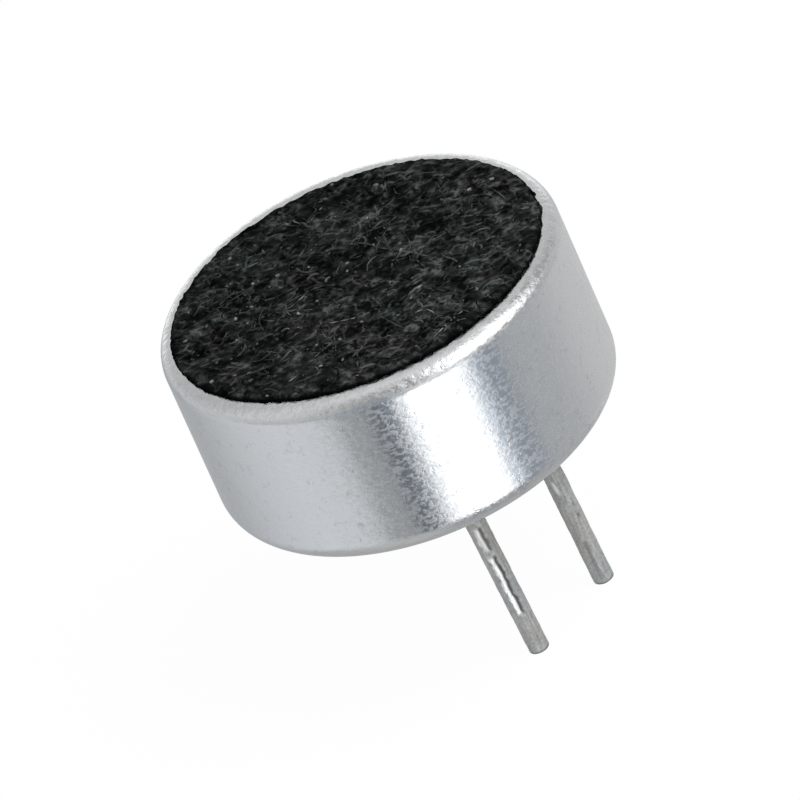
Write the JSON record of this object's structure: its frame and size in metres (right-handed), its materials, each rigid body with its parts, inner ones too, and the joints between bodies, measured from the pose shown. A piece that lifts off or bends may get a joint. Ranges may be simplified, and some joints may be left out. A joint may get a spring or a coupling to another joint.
{
  "type": "electret microphone capsule",
  "caption": "Round microphone capsule in a drawn metal case, with a black felt cover on its face and soldering pins on its rear.",
  "frame": {"origin": "where the capsule's axis crosses the plane of its rolled rear rim, which seats on a circuit board", "axes": "+Z along the axis, out through the felt; +X from the output pin to the ground pin; the pins point along -Z"},
  "size_m": [0.0098, 0.0096, 0.0097],
  "materials": {
    "felt": "matt black non-woven felt",
    "adhesive": "dark pressure-sensitive adhesive",
    "case": "drawn, satin, finely pitted",
    "ring_brass": "turned, plain",
    "diaphragm_film": "metal-coated film",
    "spacer_film": "amber film",
    "electret": "clear film on metal",
    "plate": "nickel-plated",
    "holder": "moulded black",
    "board": "glass-fibre board with solder mask",
    "copper": "copper with a thin tin wash",
    "moulding": "moulded black",
    "lead_tin": "tinned",
    "chip_ceramic": "fired, brown",
    "pin_tin": "hot-tinned, streaked",
    "solder": "bright solder"
  },
  "bodies": {
    "root": {"felt_cover": "felt", "felt_adhesive": "adhesive", "case_shell": "case", "tension_ring": "ring_brass", "diaphragm": "diaphragm_film", "spacer_ring": "spacer_film", "electret_film": "electret", "back_plate": "plate", "holder_ring": "holder", "gate_ring": "ring_brass", "circuit_board": "board", "rear_ground_land": "copper", "rear_output_land": "copper", "inner_gate_land": "copper", "inner_output_land": "copper", "inner_ground_land": "copper", "transistor_body": "moulding", "gate_lead": "lead_tin", "drain_lead": "lead_tin", "source_lead": "lead_tin", "capacitor_small": "chip_ceramic", "capacitor_small_ends": "lead_tin", "capacitor_large": "chip_ceramic", "capacitor_large_ends": "lead_tin", "output_pin": "pin_tin", "ground_pin": "pin_tin", "output_solder": "solder", "ground_solder": "solder"}
  },
  "joints": []
}
